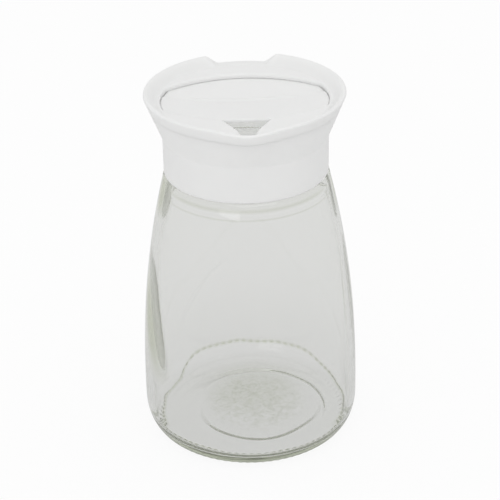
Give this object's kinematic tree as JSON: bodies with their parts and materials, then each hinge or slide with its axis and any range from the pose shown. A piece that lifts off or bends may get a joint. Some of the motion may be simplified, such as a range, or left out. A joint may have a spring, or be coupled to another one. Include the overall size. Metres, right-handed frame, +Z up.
{
  "type": "sugar dispenser",
  "caption": "Bell-shaped glass jar with a flared white pouring lid, whose dished top has a rocking flap, a spout cut at the front and a thumb cut behind.",
  "frame": {"origin": "on the ground under the jar's axis", "axes": "+Z up along the jar's axis, the spout cut faces -Y, +X to the right of someone facing the spout"},
  "size_m": [0.083, 0.083, 0.14],
  "materials": {
    "clear_glass": "clear pressed glass with a faint green tint, fire-polished",
    "collar_plastic": "white moulded plastic, satin gloss",
    "deck_plastic": "white moulded plastic, satin gloss",
    "flap_plastic": "white moulded plastic, satin gloss"
  },
  "bodies": {
    "jar": {"glass_jar": "clear_glass"},
    "lid": {"collar": "collar_plastic", "pour_deck": "deck_plastic"},
    "flap": {"rocker_flap": "flap_plastic"}
  },
  "joints": [
    {"name": "lid_lift", "type": "slide", "parent": "jar", "child": "lid", "axis": [0, 0, 1], "range_m": [0, 0.03]},
    {"name": "flap_rock", "type": "hinge", "parent": "lid", "child": "flap", "pos_m": [0, 0.006, 0.1337], "axis": [-1, 0, 0], "range_deg": [0, 35]}
  ]
}
